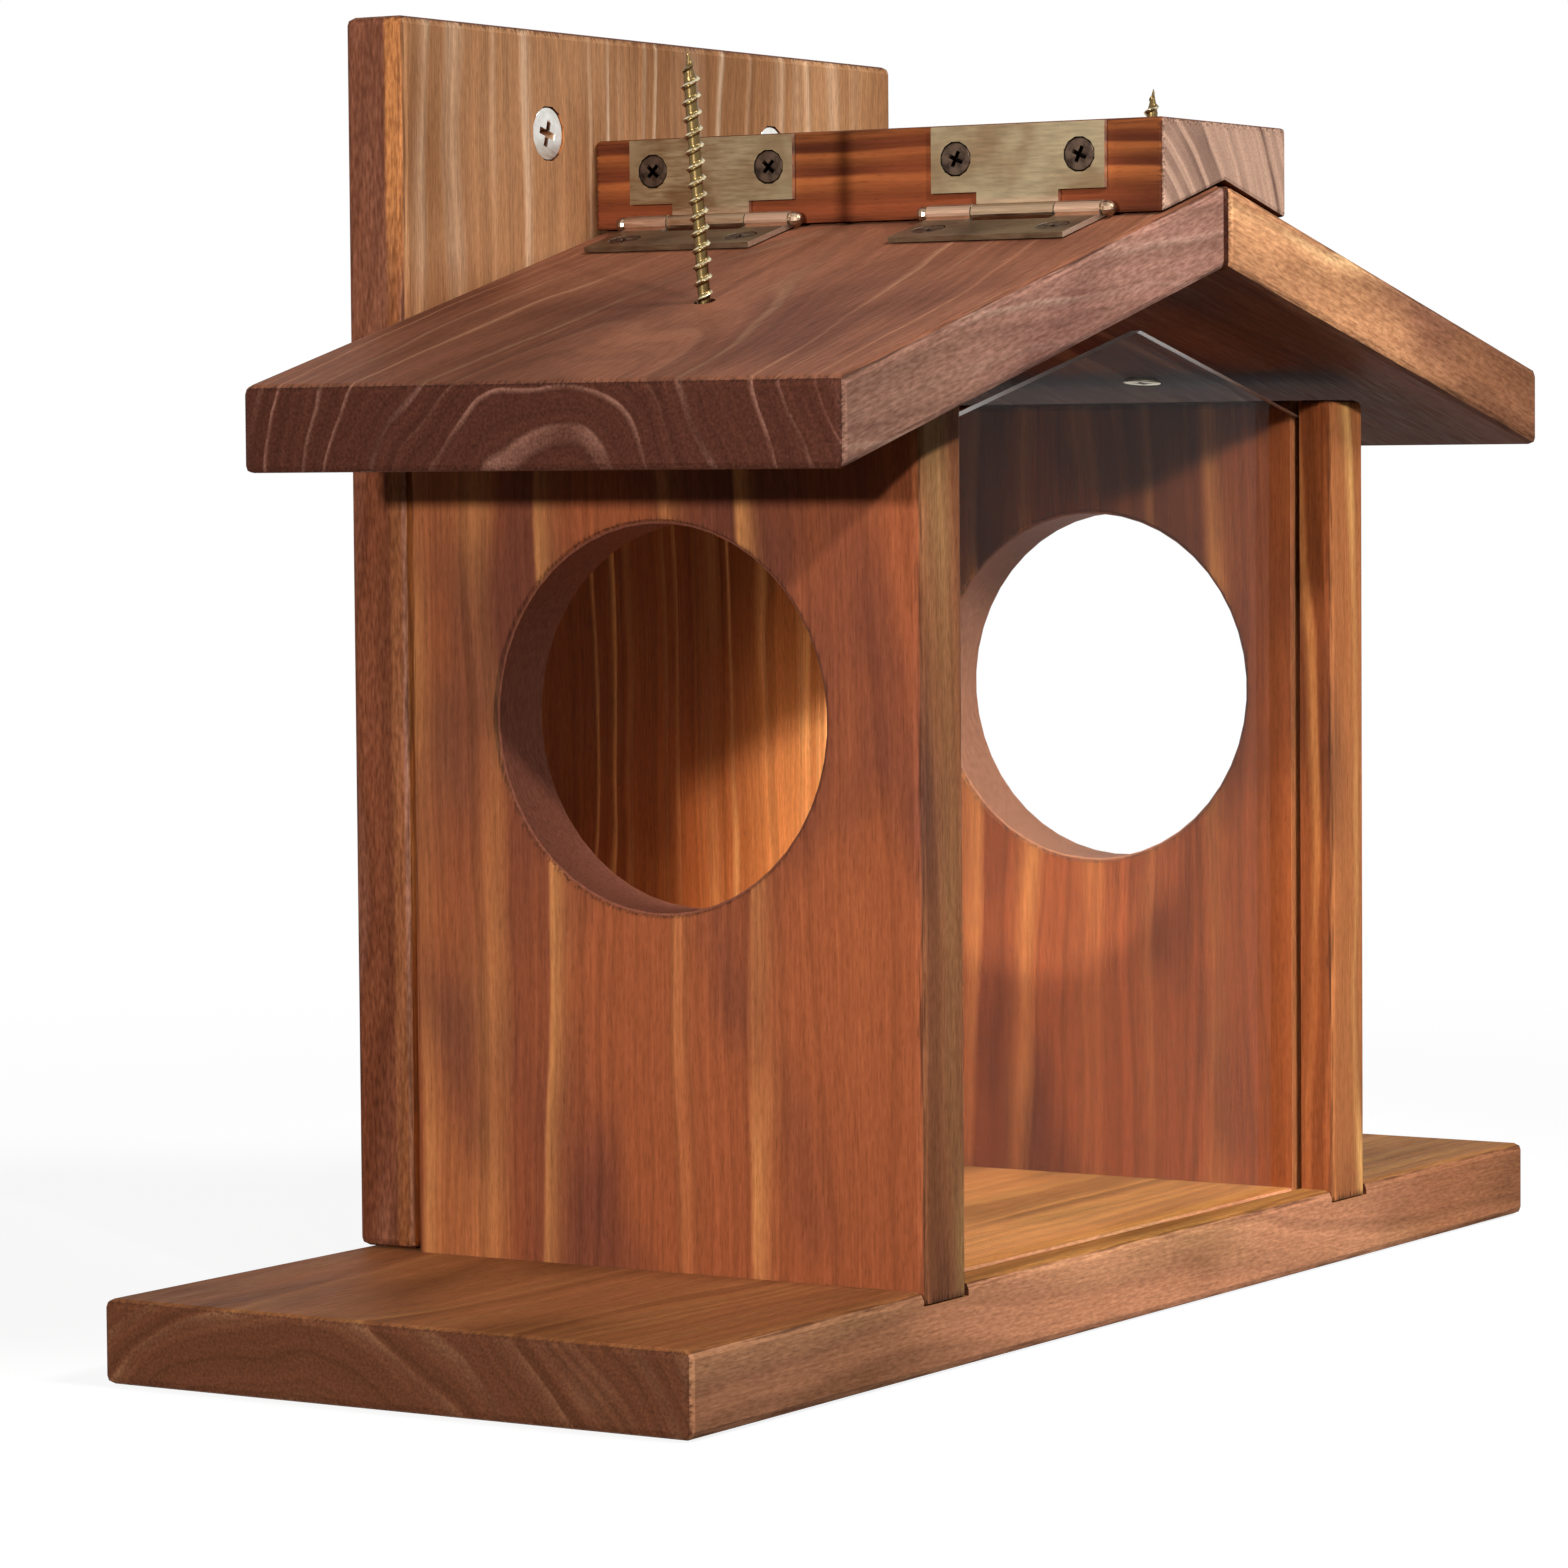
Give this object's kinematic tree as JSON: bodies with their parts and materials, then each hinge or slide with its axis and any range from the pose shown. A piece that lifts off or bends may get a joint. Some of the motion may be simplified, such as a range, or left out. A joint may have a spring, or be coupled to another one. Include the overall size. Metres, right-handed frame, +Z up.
{
  "type": "squirrel feeder",
  "caption": "Wooden squirrel feeder: a small house on a long base board with round side entrances, a clear front window, a hinged roof lid and a corn screw on each roof slope.",
  "frame": {"origin": "middle of the base board's underside, which stands on a shelf or a table", "axes": "+X along the base board from the hinged lid's side to the fixed roof's side, +Y from the window to the back board and the wall behind it, +Z up"},
  "size_m": [0.325, 0.1643, 0.242],
  "materials": {
    "base_board_wood": "stained and lacquered softwood",
    "back_board_wood": "stained and lacquered softwood",
    "left_side_panel_wood": "stained and lacquered softwood",
    "right_side_panel_wood": "stained and lacquered softwood",
    "roof_panel_wood": "stained and lacquered softwood",
    "lid_wood": "stained and lacquered softwood",
    "ridge_block_wood": "stained and lacquered softwood",
    "clear_acrylic": "clear polished sheet",
    "bronzed_steel": "bronze plated, a little aged",
    "dark_steel": "blackened",
    "zinc_steel": "zinc plated",
    "wall_screw_zinc": "bright zinc plated",
    "cob_screw_zinc": "yellow zinc plated"
  },
  "bodies": {
    "house": {"base_board": "base_board_wood", "back_board": "back_board_wood", "left_side_panel": "left_side_panel_wood", "right_side_panel": "right_side_panel_wood", "front_window": "clear_acrylic", "roof_panel": "roof_panel_wood", "ridge_block": "ridge_block_wood", "front_hinge_block_leaf": "bronzed_steel", "rear_hinge_block_leaf": "bronzed_steel", "front_hinge_pin": "bronzed_steel", "rear_hinge_pin": "bronzed_steel", "front_hinge_block_screw_1": "dark_steel", "front_hinge_block_screw_2": "dark_steel", "rear_hinge_block_screw_1": "dark_steel", "rear_hinge_block_screw_2": "dark_steel", "left_base_screw_front": "zinc_steel", "left_base_screw_rear": "zinc_steel", "left_back_screw_low": "zinc_steel", "left_back_screw_high": "zinc_steel", "left_foot_screw": "zinc_steel", "left_block_screw": "zinc_steel", "right_base_screw_front": "zinc_steel", "right_base_screw_rear": "zinc_steel", "right_back_screw_low": "zinc_steel", "right_back_screw_high": "zinc_steel", "right_foot_screw": "zinc_steel", "right_block_screw": "zinc_steel", "roof_screw_inner": "zinc_steel", "roof_screw_outer": "zinc_steel", "ridge_screw_front": "zinc_steel", "ridge_screw_rear": "zinc_steel", "left_wall_screw": "wall_screw_zinc", "right_wall_screw": "wall_screw_zinc", "right_cob_screw": "cob_screw_zinc"},
    "lid": {"lid": "lid_wood", "front_hinge_lid_leaf": "bronzed_steel", "rear_hinge_lid_leaf": "bronzed_steel", "front_hinge_lid_screw_1": "dark_steel", "front_hinge_lid_screw_2": "dark_steel", "rear_hinge_lid_screw_1": "dark_steel", "rear_hinge_lid_screw_2": "dark_steel", "left_cob_screw": "cob_screw_zinc"}
  },
  "joints": [
    {"name": "lid_hinge", "type": "hinge", "parent": "house", "child": "lid", "pos_m": [-0.0264, 0, 0.20539], "axis": [0, 1, 0], "range_deg": [0, 105]}
  ]
}
